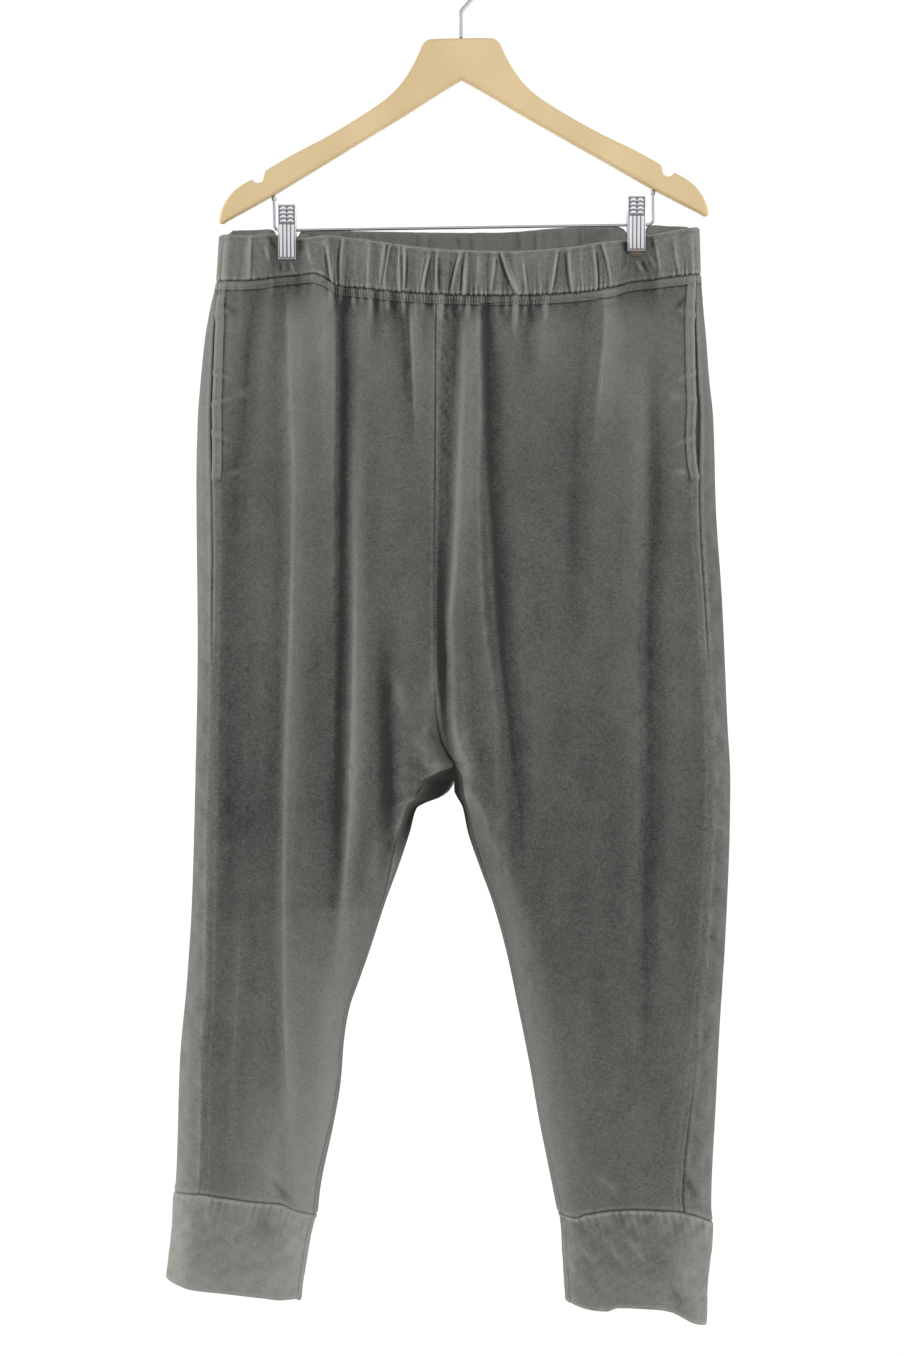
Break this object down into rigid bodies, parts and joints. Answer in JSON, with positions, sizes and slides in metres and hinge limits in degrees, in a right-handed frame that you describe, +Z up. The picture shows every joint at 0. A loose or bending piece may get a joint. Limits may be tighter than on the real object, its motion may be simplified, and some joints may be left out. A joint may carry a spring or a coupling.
{
  "type": "drop-crotch sweatpants on a clip hanger",
  "caption": "Drop-crotch jersey sweatpants with a gathered elastic waistband, side-seam pockets and deep ankle cuffs, hanging from a wooden hanger by metal clips.",
  "frame": {"origin": "inner top of the hook's curve, where a rail carries it", "axes": "+Z up, along the hanging garment; the garment's front faces -Y; the wearer's right is at -X; the rail runs along Y"},
  "size_m": [0.5103, 0.0866, 1.2435],
  "materials": {
    "jersey": "dark grey mineral-washed cotton jersey, matt and slightly fuzzy",
    "waistband": "the same washed jersey over gathered elastic, paler on the crests",
    "cuff": "doubled washed jersey, a little paler than the legs",
    "pocket_facing": "washed jersey inside the pocket opening",
    "wood": "clear-lacquered pale beech, satin",
    "wire": "plated steel wire",
    "clip_metal": "bright plated pressed steel",
    "clip_pad": "brownish soft pad"
  },
  "bodies": {
    "root": {"waistband": "waistband", "front_panel_right": "jersey", "front_panel_left": "jersey", "back_panel_right": "jersey", "back_panel_left": "jersey", "pocket_facing_right": "pocket_facing", "pocket_facing_left": "pocket_facing", "cuff_right": "cuff", "cuff_left": "cuff", "hanger_arm_right": "wood", "hanger_arm_left": "wood", "hook": "wire", "trouser_bar": "wire", "clip_right_front_plate": "clip_metal", "clip_right_back_plate": "clip_metal", "clip_right_front_pad": "clip_pad", "clip_right_back_pad": "clip_pad", "clip_right_sleeve": "clip_metal", "clip_left_front_plate": "clip_metal", "clip_left_back_plate": "clip_metal", "clip_left_front_pad": "clip_pad", "clip_left_back_pad": "clip_pad", "clip_left_sleeve": "clip_metal"}
  },
  "joints": []
}
